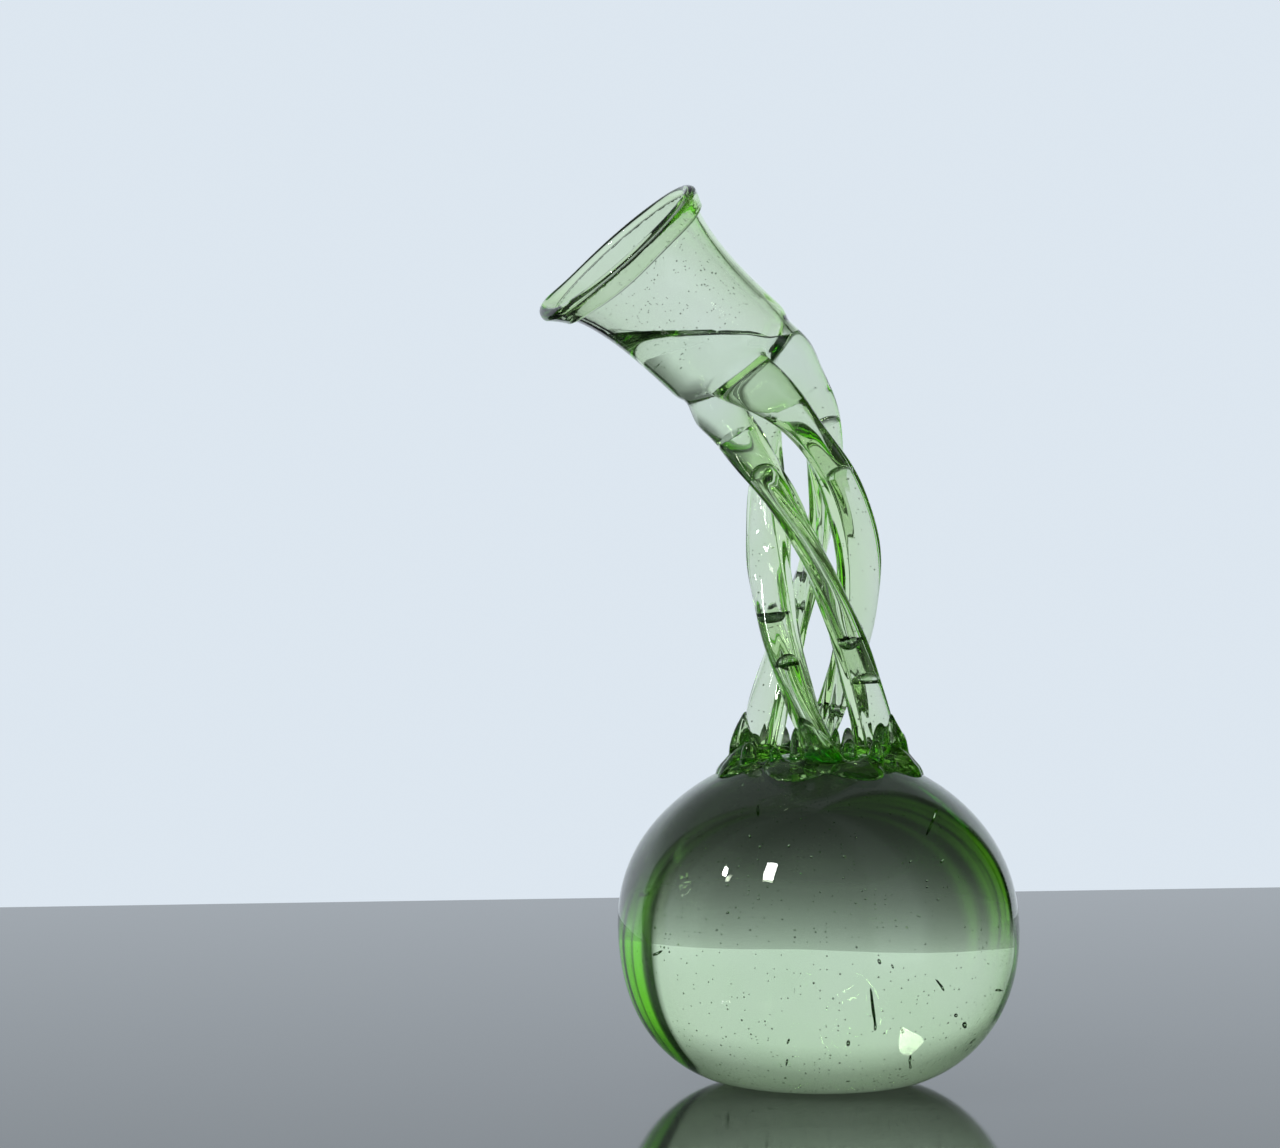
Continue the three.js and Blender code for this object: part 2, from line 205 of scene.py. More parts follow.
VASE_MIDDLE = (0, 0, 0.1)
IN_BULB = (0, 0, 0.05)
add_light("soft_overhead", place=(-0.4, -0.3, 1.6), aim=VASE_MIDDLE, size=1.2, power=3)
add_light("soft_back", place=(0.5, 1.3, 1.3), aim=VASE_MIDDLE, size=0.8, power=2)
add_light("window_glint", place=(-0.69, -0.94, 0.99), aim=IN_BULB, size=0.15, power=2.4, glints=True)
add_light("lamp_glint", place=(-1.125, -0.505, 0.894), aim=IN_BULB, size=0.07, power=2.4, glints=True)

# ---- Bulb ----
# The blown body: a nearly round bubble of pale green glass with a wall of about 3 mm and a thicker floor.
# Its base is ground to a ring with a shallow hollow inside it. The wall holds fine seeds and is nowhere quite
# even.

MM = 0.001
bulb_low, bulb_high = (np.array(corner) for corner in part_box("bulb"))
BULB_RADIUS = (bulb_high[0] - bulb_low[0]) / 2
BULB_EQUATOR = 44 * MM
BULB_RISE = 51.6 * MM
BULB_WALL = 3 * MM
BULB_FLOOR = 4.5 * MM
BASE_RADIUS = 21 * MM
BASE_RING = 6 * MM
BASE_HOLLOW = 0.8 * MM
BULB_MOUTH = 20 * MM
PONTIL_RADIUS = 9 * MM
PONTIL_HEIGHT = 2.2 * MM
CLEARANCE = 0.3 * MM
GLASS_IOR = 1.5
GLASS_ABSORBS = (0.62, 0.93, 0.24, 1)
GLASS_DENSITY = 110.0
BULB_DENSITY = 55.0
BULB_ROUND = np.linspace(0, 2 * np.pi, 200, endpoint=False)
LOWER_STEPS = 56
UPPER_STEPS = 50
QUARTER = np.pi / 2


def skin_parts(grid, closed_along=False):
    """Vertices and faces of a closed surface over a grid of points (along, round, xyz). It closes round the
    second direction. Along the first it closes on itself, or else its first and last rows each shrink to the
    row's middle point. Faces are turned outwards by signed volume."""
    rows, columns = grid.shape[:2]
    if not closed_along:
        body = grid[1:-1].reshape(-1, 3)
        rows -= 2
        poles = np.array([grid[0].mean(axis=0), grid[-1].mean(axis=0)])
        vertices = np.concatenate([body, poles])
    else:
        vertices = grid.reshape(-1, 3)
    i = np.arange(rows if closed_along else rows - 1)[:, None]
    j = np.arange(columns)[None, :]
    next_i, next_j = (i + 1) % rows, (j + 1) % columns
    corner = [i * columns + j, i * columns + next_j, next_i * columns + next_j, next_i * columns + j]
    quads = np.stack(corner, axis=-1).reshape(-1, 4)
    triangles = np.zeros((0, 3), dtype=int)
    if not closed_along:
        first = np.arange(columns)
        second = (first + 1) % columns
        low, high = rows * columns, rows * columns + 1
        last = (rows - 1) * columns
        at_start = np.stack([np.full(columns, low), second, first], axis=1)
        at_end = np.stack([np.full(columns, high), last + first, last + second], axis=1)
        triangles = np.concatenate([at_start, at_end])
    fans = np.concatenate([quads[:, [0, 1, 2]], quads[:, [0, 2, 3]], triangles])
    a, b, c = (vertices[fans[:, k]] for k in range(3))
    if np.einsum("ij,ij->i", a, np.cross(b, c)).sum() < 0:
        quads, triangles = quads[:, ::-1], triangles[:, ::-1]
    return vertices, quads.tolist() + triangles.tolist()


def skin(name, grid, closed_along=False, seeds=None):
    """An object with that surface. Seeds are (centres, radii) of small hollow bubbles inside the glass."""
    vertices, faces = skin_parts(grid, closed_along)
    if seeds is not None:
        vertices, faces = with_bubbles(vertices, faces, seeds)
    return new_object(name, vertices, faces)


OCTAHEDRON_CORNERS = [(1.0, 0, 0), (0, 1.0, 0), (-1.0, 0, 0), (0, -1.0, 0), (0, 0, 1.0), (0, 0, -1.0)]
OCTAHEDRON_FACES = [
    (0, 1, 4), (1, 2, 4), (2, 3, 4), (3, 0, 4),
    (1, 0, 5), (2, 1, 5), (3, 2, 5), (0, 3, 5),
]


def round_bubble():
    """An octahedron with each face cut in four and pushed out to a sphere, with its faces turned inwards."""
    points, faces = list(OCTAHEDRON_CORNERS), []

    def middle(p, q):
        m = (np.array(points[p]) + np.array(points[q])) / 2
        m = tuple(m / np.linalg.norm(m))
        if m not in points:
            points.append(m)
        return points.index(m)

    for a, b, c in OCTAHEDRON_FACES:
        ab, bc, ca = middle(a, b), middle(b, c), middle(c, a)
        faces += [[a, ca, ab], [b, ab, bc], [c, bc, ca], [ab, ca, bc]]
    return np.array(points), np.array(faces)


def bubbles(centres, radii):
    """Vertices and faces of the same 32-faced sphere, scaled to each radius and moved to each centre."""
    points, faces = round_bubble()
    vertices = centres[:, None, :] + radii[:, None, None] * points[None]
    offsets = np.arange(len(centres))[:, None, None] * len(points)
    return vertices.reshape(-1, 3), (faces[None] + offsets).reshape(-1, 3)


def with_bubbles(vertices, faces, seeds):
    """Adds bubbles to the vertices and faces of a piece of glass."""
    bubble_vertices, bubble_faces = bubbles(*seeds)
    faces = faces + (bubble_faces + len(vertices)).tolist()
    return np.concatenate([vertices, bubble_vertices]), faces


SEED_DEPTHS = (0.3, 0.7)
SEED_LEANING = 0.3


def seeds_between(outer, inner, count, smallest, largest, seed, margin=4):
    """Random places between two matching grids of points, within the middle of the wall and a margin of rows
    away from its ends. Radius = smallest + range x (a draw that leans to 0)^2: many small, few large."""
    rng = np.random.default_rng(seed)
    i = rng.integers(margin, outer.shape[0] - margin, count)
    j = rng.integers(0, outer.shape[1], count)
    depth = rng.uniform(*SEED_DEPTHS, count)[:, None]
    centres = outer[i, j] * (1 - depth) + inner[i, j] * depth
    radii = smallest + (largest - smallest) * rng.power(SEED_LEANING, count) ** 2
    return centres, radii


CLOUD_SCALE = 45
CLOUD_DETAIL = 3
# The noise values between which the tint fades out, and those between which the surface gets duller.
TINT_FROM, TINT_TO = 0.35, 0.7
DULL_FROM, DULL_TO = 0.55, 0.8
FAINT_TINT = (0.96, 0.985, 0.95, 1)
DULLEST = 0.03


def blown_glass(name, density, ripple, ripple_size):
    """Clear glass that takes its colour from the thickness that light crosses. Noise gives its surface a
    faint ripple, a faint change of tint and a few duller places."""
    material = bpy.data.materials.new(name)
    material.use_nodes = True
    nodes, links = material.node_tree.nodes, material.node_tree.links
    shader = nodes["Principled BSDF"]
    shader.inputs["Transmission Weight"].default_value = 1
    shader.inputs["IOR"].default_value = GLASS_IOR
    place = nodes.new("ShaderNodeTexCoord")
    cloud = nodes.new("ShaderNodeTexNoise")
    cloud.inputs["Scale"].default_value = CLOUD_SCALE
    cloud.inputs["Detail"].default_value = CLOUD_DETAIL
    links.new(place.outputs["Object"], cloud.inputs["Vector"])
    tint = nodes.new("ShaderNodeValToRGB")
    tint.color_ramp.elements[0].position = TINT_FROM
    tint.color_ramp.elements[0].color = FAINT_TINT
    tint.color_ramp.elements[1].position = TINT_TO
    tint.color_ramp.elements[1].color = (1, 1, 1, 1)
    links.new(cloud.outputs["Fac"], tint.inputs["Fac"])
    links.new(tint.outputs["Color"], shader.inputs["Base Color"])
    dull = nodes.new("ShaderNodeMapRange")
    dull.inputs["From Min"].default_value = DULL_FROM
    dull.inputs["From Max"].default_value = DULL_TO
    dull.inputs["To Min"].default_value = 0.0
    dull.inputs["To Max"].default_value = DULLEST
    links.new(cloud.outputs["Fac"], dull.inputs["Value"])
    links.new(dull.outputs[0], shader.inputs["Roughness"])
    wave = nodes.new("ShaderNodeTexNoise")
    wave.inputs["Scale"].default_value = 1 / ripple_size
    wave.inputs["Detail"].default_value = 1
    links.new(place.outputs["Object"], wave.inputs["Vector"])
    bump = nodes.new("ShaderNodeBump")
    bump.inputs["Strength"].default_value = 1
    bump.inputs["Distance"].default_value = ripple
    links.new(wave.outputs["Fac"], bump.inputs["Height"])
    links.new(bump.outputs["Normal"], shader.inputs["Normal"])
    volume = nodes.new("ShaderNodeVolumeAbsorption")
    volume.inputs["Color"].default_value = GLASS_ABSORBS
    volume.inputs["Density"].default_value = density
    links.new(volume.outputs[0], nodes["Material Output"].inputs["Volume"])
    return material


def turned(profile, angles):
    """A profile of (radius, height) turned round the upright axis."""
    radius, height = profile[:, 0, None], profile[:, 1, None]
    spread = np.broadcast_to(height, (len(profile), len(angles)))
    return np.stack([radius * np.cos(angles), radius * np.sin(angles), spread], axis=-1)


def arc(centre, reach, rise, start, end, steps):
    """Points of (radius, height) on an elliptical arc between two angles."""
    t = np.linspace(start, end, steps)
    return np.stack([centre[0] + reach * np.cos(t), centre[1] + rise * np.sin(t)], axis=1)


def straight(*corners, steps=6):
    """Points of (radius, height) evenly along the lines between corners, without the last corner."""
    share = np.linspace(0, 1, steps, endpoint=False)[:, None]
    pieces = [np.array(p) * (1 - share) + np.array(q) * share for p, q in zip(corners, corners[1:])]
    return np.concatenate(pieces)


def closed_by_ends(grid):
    """The grid with its first and last rows repeated, so that those shrink to a flat end."""
    return np.concatenate([grid[:1], grid, grid[-1:]])


def melted(name, grids, voxel, smoothing, keep=1.0, softness=None):
    """One closed object of several closed surfaces that reach into each other, made of even small faces, and
    smoothed so that the creases between them melt. Keep is the share of faces left in the end. Softness
    gives each point's share of the smoothing, in steps of a tenth."""
    made = joined(name + "_parts", [skin_parts(closed_by_ends(grid)) for grid in grids])
    remesh = made.modifiers.new("remesh", "REMESH")
    remesh.mode, remesh.voxel_size = "VOXEL", voxel
    if softness:
        made = baked(made, name + "_even")
        places = np.empty(len(made.data.vertices) * 3, dtype=np.float32)
        made.data.vertices.foreach_get("co", places)
        level = np.round(softness(places.reshape(-1, 3)), 1)
        group = made.vertex_groups.new(name="softness")
        for value in np.unique(level):
            group.add(np.flatnonzero(level == value).tolist(), float(value), "REPLACE")
    soften = made.modifiers.new("soften", "SMOOTH")
    soften.factor, soften.iterations = 0.5, smoothing
    if softness:
        soften.vertex_group = "softness"
    if keep < 1:
        made.modifiers.new("thin_out", "DECIMATE").ratio = keep
    return baked(made, name)


def joined(name, parts):
    """One object of several lists of vertices and faces."""
    vertices, faces, start = [], [], 0
    for part_vertices, part_faces in parts:
        vertices.append(part_vertices)
        faces += [[corner + start for corner in face] for face in part_faces]
        start += len(part_vertices)
    return new_object(name, np.concatenate(vertices), faces)


def baked(made, name):
    """A new object with the mesh that an object's modifiers give. The old one is removed."""
    bpy.context.view_layer.update()
    mesh = bpy.data.meshes.new_from_object(made.evaluated_get(bpy.context.evaluated_depsgraph_get()))
    bpy.data.objects.remove(made)
    result = bpy.data.objects.new(name, mesh)
    bpy.context.collection.objects.link(result)
    return result


def combined(made, other, operation, name):
    """A new object: the first with the second cut away (DIFFERENCE) or joined on (UNION). The old ones
    go."""
    boolean = made.modifiers.new("combine", "BOOLEAN")
    boolean.operation, boolean.solver, boolean.object = operation, "MANIFOLD", other
    result = baked(made, name)
    bpy.data.objects.remove(other)
    return result


CRISP_ANGLE = math.radians(50)


def finished(made, material):
    """Smooth shading with crisp cut edges, one material, and the root body for a piece made by melting."""
    made.data.polygons.foreach_set("use_smooth", np.ones(len(made.data.polygons), dtype=bool))
    made.data.set_sharp_from_angle(angle=CRISP_ANGLE)
    made.data.materials.clear()
    made.data.materials.append(material)
    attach(made, "root")


SAG = 0.028
SAG_HEIGHT = 10 * MM
WAVE_HEIGHT = 20 * MM
# Random phases are drawn from 0 up to about a full turn.
FULL_PHASE = 6.28


def shoulder_height(radius):
    """Height of the bulb's outer surface at a radius: equator + rise x sqrt(1 - (radius / bulb's)^2)."""
    return BULB_EQUATOR + BULB_RISE * np.sqrt(1 - np.clip(radius / BULB_RADIUS, 0, 1) ** 2)


def hand_worked(grid, sway, climb, seed):
    """Moves points in and out from the upright axis by a few slow waves round it and up it, as hand work
    leaves them: radius x (1 + sum of sway / k x cos(k angle + m height / wave height + phase)), with k 2, 3
    and 5 and m up to climb. Front and back swell below the equator and draw in above it: less sag x
    sin^2(angle) x sin(height above the equator / sag height)."""
    rng = np.random.default_rng(seed)
    angle = np.arctan2(grid[..., 1], grid[..., 0])
    height = grid[..., 2] / WAVE_HEIGHT
    stretch = np.zeros(angle.shape)
    for k in (2, 3, 5):
        rise, phase = rng.uniform(-climb, climb), rng.uniform(0, FULL_PHASE)
        stretch += sway / k * np.cos(k * angle + rise * height + phase)
    stretch -= SAG * np.sin(angle) ** 2 * np.sin((grid[..., 2] - BULB_EQUATOR) / SAG_HEIGHT)
    worked = grid.copy()
    worked[..., :2] *= (1 + stretch)[..., None]
    return worked


def bulb_skins():
    """The outer and the inner surface of the bulb as grids: quarter ellipses from the base ring to the
    equator, and from there arcs of ellipses to the mouth."""
    outer_end = math.acos(BULB_MOUTH / BULB_RADIUS)
    inner_radius = BULB_RADIUS - BULB_WALL
    inner_end = math.acos(BULB_MOUTH / inner_radius)
    base, inner_base = (BASE_RADIUS, BULB_EQUATOR), (BASE_RADIUS - BULB_WALL, BULB_EQUATOR)
    equator = (0, BULB_EQUATOR)
    outer = np.concatenate([
        arc(base, BULB_RADIUS - BASE_RADIUS, BULB_EQUATOR, -QUARTER, 0, LOWER_STEPS)[:-1],
        arc(equator, BULB_RADIUS, BULB_RISE, 0, outer_end, UPPER_STEPS),
    ])
    inner_reach, inner_depth = inner_radius - inner_base[0], BULB_EQUATOR - BULB_FLOOR
    inner = np.concatenate([
        arc(inner_base, inner_reach, inner_depth, -QUARTER, 0, LOWER_STEPS)[:-1],
        arc(equator, inner_radius, BULB_RISE - BULB_WALL, 0, inner_end, UPPER_STEPS),
    ])
    return turned(outer, BULB_ROUND), turned(inner, BULB_ROUND)


bulb_outer, bulb_inner = bulb_skins()
bulb_outer = hand_worked(bulb_outer, sway=0.011, climb=2.6, seed=3)
bulb_inner = hand_worked(bulb_inner, sway=0.013, climb=1.0, seed=4)
recess = PONTIL_RADIUS + CLEARANCE
bulb_under = turned(
    straight(
        (0, PONTIL_HEIGHT + CLEARANCE),
        (recess, PONTIL_HEIGHT + CLEARANCE),
        (recess, BASE_HOLLOW),
        (BASE_RADIUS - BASE_RING, 0.0),
        (BASE_RADIUS, 0.0),
    ),
    BULB_ROUND,
)
bulb_floor = turned(straight((BASE_RADIUS - BULB_WALL, BULB_FLOOR), (0, BULB_FLOOR)), BULB_ROUND)
bulb_centre = turned(np.array([[0, BULB_FLOOR]]), BULB_ROUND)
bulb_grid = np.concatenate([bulb_under, bulb_outer, bulb_inner[::-1], bulb_floor[1:], bulb_centre])
bulb_seeds = seeds_between(
    bulb_outer, bulb_inner, count=2200, smallest=0.19 * MM, largest=0.34 * MM, seed=5
)
bulb = skin("blown_bulb", bulb_grid, seeds=bulb_seeds)
bulb_glass = blown_glass("bulb_glass", BULB_DENSITY, ripple=0.05 * MM, ripple_size=14 * MM)
bulb.data.materials.append(bulb_glass)
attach(bulb, "root")
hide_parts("bulb")

# ---- Pontil mark ----
# The ground button in the middle of the base, where the iron held the vase while its mouth was made.


PONTIL_EDGE = 0.5 * MM
PONTIL_WAVE = 0.15 * MM
FACE_STEPS = 24


def ground_button():
    """A disc turned round the axis, its edge bevelled below. Its upper face is a little uneven: height - wave
    x r x (1 + cos(3 angle + 4 r)), with r the share of its radius."""
    angles = np.linspace(0, 2 * np.pi, 96, endpoint=False)
    flat = PONTIL_RADIUS - PONTIL_EDGE
    profile = np.concatenate([
        straight((0, 0), (flat, 0), steps=FACE_STEPS),
        straight((flat, 0), (PONTIL_RADIUS, PONTIL_EDGE), (PONTIL_RADIUS, PONTIL_HEIGHT)),
        straight((PONTIL_RADIUS, PONTIL_HEIGHT), (0, PONTIL_HEIGHT), steps=FACE_STEPS),
        np.array([[0, PONTIL_HEIGHT]]),
    ])
    grid = turned(profile, angles)
    radius = profile[:, 0, None] / PONTIL_RADIUS
    upper = profile[:, 1, None] > PONTIL_HEIGHT * 0.9
    grid[..., 2] -= PONTIL_WAVE * upper * radius * (1 + np.cos(3 * angles + 4 * radius))
    return grid


pontil = skin("pontil_button", ground_button())
ground_glass = blown_glass("ground_glass", GLASS_DENSITY, ripple=0.15 * MM, ripple_size=0.8 * MM)
pontil.data.materials.append(ground_glass)
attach(pontil, "root")
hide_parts("pontil_mark")

# ---- Neck tubes ----
# Four hollow tubes pinched and drawn from one gather, flattened, thick and green on their inner sides, thin
# and clear outside. They twist left-handed round a centreline that rises from the bulb and bends over to -X.

NECK_START = np.array([0, 0, 92]) * MM
NECK_END = np.array([-23.4, 0, 206]) * MM
NECK_TILT = math.radians(40)
NECK_RISE_HANDLE = 57 * MM
NECK_BEND_HANDLE = 38 * MM
NECK_RADIUS = 18.8 * MM
NECK_CORE = 6.6 * MM
NECK_TWIST = math.radians(205)
NECK_FIRST = math.radians(8)
ROOT_SPREAD = 5.2 * MM
ROOT_LENGTH = 0.15
CROWN_BULGE = 1.3 * MM
CROWN_PLACE = 0.935
CROWN_LENGTH = 0.05
CROWN_CLOSING = 1.6 * MM
TUBE_THICKNESS = 8 * MM
TUBE_ROOT_THICKNESS = 9.4 * MM
TUBE_CROWN_THICKNESS = 19 * MM
ROOT_SWELLS_TO = 0.2
CROWN_SWELLS_FROM = 0.7
WREATH_TOP = 96.5 * MM
TUBES = ["right", "back", "left", "front"]
BACK = np.array([0.0, 1.0, 0.0])


def bezier(t):
    """The neck's centreline, a cubic Bezier curve, and its direction."""
    ahead = np.array([-math.sin(NECK_TILT), 0, math.cos(NECK_TILT)])
    p0, p3 = NECK_START, NECK_END
    p1 = p0 + np.array([0, 0, NECK_RISE_HANDLE])
    p2 = p3 - NECK_BEND_HANDLE * ahead
    t = t[:, None]
    place = (1 - t) ** 3 * p0 + 3 * (1 - t) ** 2 * t * p1 + 3 * (1 - t) * t**2 * p2 + t**3 * p3
    slope = 3 * (1 - t) ** 2 * (p1 - p0) + 6 * (1 - t) * t * (p2 - p1) + 3 * t**2 * (p3 - p2)
    return place, slope / np.linalg.norm(slope, axis=1, keepdims=True)


curve_t = np.linspace(0, 1, 2001)
curve_places = bezier(curve_t)[0]
curve_steps = np.linalg.norm(np.diff(curve_places, axis=0), axis=1)
curve_lengths = np.concatenate([[0], np.cumsum(curve_steps)])
NECK_LENGTH = curve_lengths[-1]


def neck_frame(share):
    """Centre, side axis and forward axis of the neck at shares of its length. Past its ends it goes on
    straight."""
    inside = np.clip(share, 0, 1)
    t = np.interp(inside * NECK_LENGTH, curve_lengths, curve_t)
    centre, forward = bezier(t.ravel())
    centre = centre.reshape(t.shape + (3,))
    forward = forward.reshape(t.shape + (3,))
    centre = centre + forward * ((share - inside) * NECK_LENGTH)[..., None]
    return centre, np.cross(BACK, forward), forward


def smooth(value, low, high):
    """0 below low, 1 above high, and an even curve between them."""
    share = np.clip((value - low) / (high - low), 0, 1)
    return share * share * (3 - 2 * share)


def tube_section(share):
    """Distance of a tube's middle from the centreline, and its half sizes outwards and sideways. The tubes
    spread towards their roots by e^-(share / root length), bulge by the crown, and are thicker at both
    ends."""
    inside = np.clip(share, 0, 1)
    spread = ROOT_SPREAD * np.exp(-inside / ROOT_LENGTH)
    outer = NECK_RADIUS + spread + CROWN_BULGE * np.exp(-(((inside - CROWN_PLACE) / CROWN_LENGTH) ** 2))
    inner = NECK_CORE + spread - CROWN_CLOSING * inside**4
    thickness = (
        TUBE_THICKNESS
        + (TUBE_ROOT_THICKNESS - TUBE_THICKNESS) * (1 - smooth(inside, 0, ROOT_SWELLS_TO))
        + (TUBE_CROWN_THICKNESS - TUBE_THICKNESS) * smooth(inside, CROWN_SWELLS_FROM, 1.0)
    )
    return (outer + inner) / 2, (outer - inner) / 2, thickness / 2


def beside_tube(number, share, around, outside, shift=0.0):
    """A point round a tube's section, at an angle that is 0 on its outer side, and a distance outside its
    surface. Share and angle are arrays of one shape. The shift moves the section outwards from the neck."""
    centre, side, _ = neck_frame(share)
    middle, deep, wide = tube_section(share)
    turn = NECK_FIRST + number * QUARTER - NECK_TWIST * share
    radial = middle + shift + (deep + outside) * np.cos(around)
    sideways = (wide + outside) * np.sin(around)
    along_side = radial * np.cos(turn) - sideways * np.sin(turn)
    along_back = radial * np.sin(turn) + sideways * np.cos(turn)
    return centre + side * along_side[..., None] + BACK * along_back[..., None]


TUBE_ROUND = np.linspace(0, 2 * np.pi, 54, endpoint=False)
TUBE_STEPS = 112
TUBE_FROM = (WREATH_TOP - 1.0 * MM - NECK_START[2]) / NECK_LENGTH
CROWN_CUT = 0.82
TUBE_TO = CROWN_CUT + 5 * MM / NECK_LENGTH
OVERLAP_FADE = 4 * MM / NECK_LENGTH
SEAM = 0.18 * MM
TUBE_WALL = 1.3 * MM
CORE_SHIFT = 1.2 * MM
CORE_SHARE = 0.7
WALL_WAVE = 0.25 * MM
SLOW_SWAY = 0.18 * MM
QUICK_SWAY = 0.12 * MM
FLUTE = 0.5 * MM
FLUTE_COUNT = 8
# The shares of the neck between which the flutes fade out, and those between which the walls get even.
FLUTES_FADE = (0.62, 0.79)
WALLS_EVEN = (0.78, 0.95)


def tube_phases(number):
    """The random phases of a tube's waves: its slow sway, its quick sway, its flutes and its wall."""
    return np.random.default_rng(20 + number).uniform(0, FULL_PHASE, 4)


def bore_surface(number, share, around, outside=0.0):
    """A tube's bore: its section less the wall, which is wall + wave x cos(9 share + 2 angle + phase). It is
    pushed outwards so that the inner side is thick, but evenly walled by the crown. Outside moves the
    surface into the glass."""
    thick = TUBE_WALL + WALL_WAVE * np.cos(9 * share + 2 * around + tube_phases(number)[3])
    push = CORE_SHIFT * (1 - smooth(share, *WALLS_EVEN))
    return beside_tube(number, share, around, outside - thick - CORE_SHARE * push, shift=push)


def thinned_tube(share):
    """How much thinner a tube's wall gets towards its hidden end inside the crown."""
    return SEAM * smooth(share, TUBE_TO - OVERLAP_FADE, TUBE_TO)


def thinned_crown(share):
    """How much thinner the crown's walls get towards its hidden end inside the tubes."""
    return SEAM * (1 - smooth(share, CROWN_CUT, CROWN_CUT + OVERLAP_FADE))


def tube_skins(number, start=TUBE_FROM, end=TUBE_TO, steps=TUBE_STEPS, thinned=thinned_tube):
    """Outer surface and bore of a tube. Its outside sways by two waves of the share, and flutes run along it
    where it faces the neck's middle: flute x ((1 - cos(angle)) / 2)^2 x cos(8 angle + a drift by share)."""
    phase = tube_phases(number)
    share = np.linspace(start, end, steps)[:, None]
    share = np.broadcast_to(share, (steps, len(TUBE_ROUND)))
    around = np.broadcast_to(TUBE_ROUND, share.shape)
    inward = ((1 - np.cos(around)) / 2) ** 2
    sway = SLOW_SWAY * np.cos(14 * share + phase[0])
    sway += QUICK_SWAY * np.cos(31 * share + around + phase[1])
    fading = 1 - smooth(share, *FLUTES_FADE)
    drift = 3 * np.cos(6 * share + phase[2])
    flutes = FLUTE * inward * fading * np.cos(FLUTE_COUNT * around + drift)
    outer = beside_tube(number, share, around, sway + flutes - thinned(share))
    return outer, bore_surface(number, share, around, thinned(share))


def tube_seeds(number):
    """Seeds in the wall of a tube."""
    outer, bore = tube_skins(number)
    return seeds_between(outer, bore, count=90, smallest=0.17 * MM, largest=0.33 * MM, seed=40 + number)


# ---- Root wreath ----
# Thick glass laid on the bulb's shoulder round the roots of the tubes, pulled and pinched while it was soft,
# so its skirt is scalloped and its top is ridged. It is the greenest glass on the vase, partly because it is
# the thickest and partly by painted shade: its glass absorbs 1.6 times as much as the plain glass, which
# stands in for the shade of the dark room seen through it.

WREATH_RADIUS = 28.0 * MM
WREATH_PLUG = 19.6 * MM
WREATH_SINK = 0.15 * MM
WREATH_DEPTH = 2 * MM
PLUG_STEP = 0.2 * MM
SCALLOP = 0.05
CUSP = 0.11
TOP_DROP = 1.8 * MM
TOP_HOLLOW = 1.6 * MM
RIDGE = 1.3 * MM
TUBE_RIDGE = 1.2 * MM
WREATH_VOXEL = 0.45 * MM
WREATH_SMOOTHING = 5
# Painted shade: the wreath's glass absorbs more than the plain glass, to look as dark as the shaded room seen
# through it.
WREATH_DENSITY_WITH_PAINTED_SHADE = 1.6 * GLASS_DENSITY


def wreath_grid():
    """Rows from the middle of the underside out along the shoulder, round the skirt, and back over the top.
    Skirt = radius x (1 + four scallops at the tubes + seven more + cusps), where a cusp is
    |sin(4.5 angle)|^0.7 drawn together and apart. Top = level + four ridges at the tubes + nine more, lower
    in the middle, and it rises from the skirt's edge in two steps."""
    angles = np.linspace(0, 2 * np.pi, 288, endpoint=False)
    to_tube = angles - NECK_FIRST + NECK_TWIST * TUBE_FROM
    cusps = np.abs(np.sin(4.5 * angles + 0.6 + 0.5 * np.sin(2 * angles))) ** 0.7
    skirt = 1 + SCALLOP * np.cos(4 * to_tube) + SCALLOP * np.cos(7 * angles + 1) + CUSP * (cusps - 0.6)
    share = np.linspace(0, 1, 28)[:, None]
    floor_height = shoulder_height(WREATH_PLUG) - WREATH_DEPTH
    plug = turned(straight((0, floor_height), (WREATH_PLUG, floor_height), steps=12), angles)
    reach = WREATH_PLUG + PLUG_STEP + share * (WREATH_RADIUS * skirt - WREATH_PLUG - PLUG_STEP)
    under_height = shoulder_height(reach) - WREATH_SINK
    under = np.stack([reach * np.cos(angles), reach * np.sin(angles), under_height], axis=-1)
    # The top, from the skirt's edge to the middle.
    inward = np.linspace(0, 1, 60)[:, None]
    rim = WREATH_RADIUS * skirt
    top_reach = rim * (1 - inward)
    edge_step = 0.3 * np.clip(inward / 0.05, 0, 1) ** 0.5 * (1 - smooth(inward, 0.1, 0.3))
    round_edge = edge_step + smooth(inward, 0.02, 0.3)
    base_height = shoulder_height(top_reach) - WREATH_SINK
    level = WREATH_TOP - TOP_DROP + RIDGE * np.cos(9 * angles + 1.3) + TUBE_RIDGE * np.cos(4 * to_tube)
    level = level - TOP_HOLLOW * smooth(inward, 0.45, 1.0)
    top_height = base_height + (level - base_height) * round_edge
    top = np.stack([top_reach * np.cos(angles), top_reach * np.sin(angles), top_height], axis=-1)
    return np.concatenate([plug, under, top[1:]])


LUMPS = 22
# The least and the most of each random measure of a lump, in millimetres.
LUMP_REACH = (18.0, 24.0)
LUMP_HALF_WIDTH = (1.5, 2.8)
LUMP_HALF_HEIGHT = (3.0, 8.5)
LUMP_RAISED = (0.5, 3.2)


def lump_grids():
    """Beads of glass pinched up round the skirt and between the tubes: ellipsoids with their long axes
    upright."""
    rng = np.random.default_rng(8)
    angles = np.linspace(0, 2 * np.pi, 20, endpoint=False)
    sphere = arc((0, 0), 1, 1, -QUARTER, QUARTER, 12)
    unit = turned(sphere, angles)
    grids = []
    for count in range(LUMPS):
        around = 2 * np.pi * (count + rng.uniform(-0.3, 0.3)) / LUMPS
        reach = rng.uniform(*LUMP_REACH) * MM
        ranges = (LUMP_HALF_WIDTH, LUMP_HALF_WIDTH, LUMP_HALF_HEIGHT)
        size = np.array([rng.uniform(*span) for span in ranges]) * MM
        height = shoulder_height(reach) + rng.uniform(*LUMP_RAISED) * MM
        grids.append(unit * size + [reach * math.cos(around), reach * math.sin(around), height])
    return grids


# ---- Tube feet ----
# A point of hot glass pulled up the outer side of each tube's root with pincers, thick below and thin at its
# tip.

